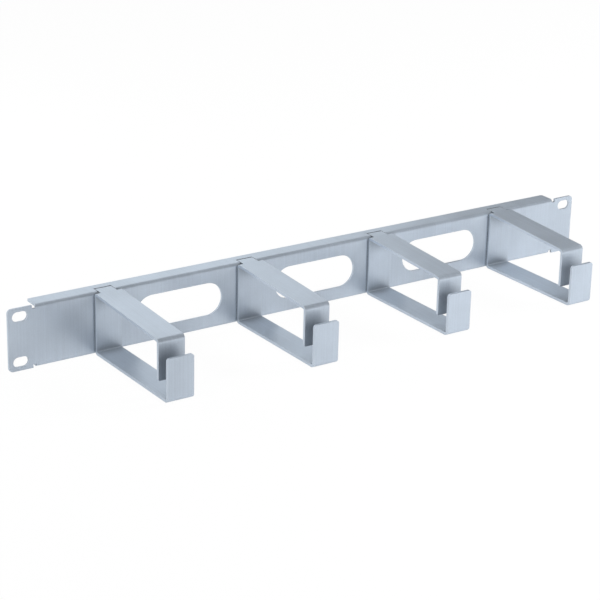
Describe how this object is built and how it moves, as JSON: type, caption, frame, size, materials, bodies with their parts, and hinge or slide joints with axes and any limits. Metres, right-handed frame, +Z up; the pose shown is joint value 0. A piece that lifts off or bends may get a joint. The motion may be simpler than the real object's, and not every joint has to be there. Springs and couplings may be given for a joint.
{
  "type": "horizontal cable manager",
  "caption": "Rack panel one unit high with open cable rings in front, oval cable openings between them and slotted rack ears.",
  "frame": {"origin": "centre of the rack hole pattern, on the back face of the panel that seats on the rack rails", "axes": "+X along the panel to the right seen from the front, -Y forward to the cable rings, +Y back into the rack, +Z up"},
  "size_m": [0.4826, 0.1088, 0.044],
  "materials": {
    "painted_steel": "silver-grey metallic paint, semi-gloss"
  },
  "bodies": {
    "root": {"panel": "painted_steel", "ring_1": "painted_steel", "ring_2": "painted_steel", "ring_3": "painted_steel", "ring_4": "painted_steel"}
  },
  "joints": []
}
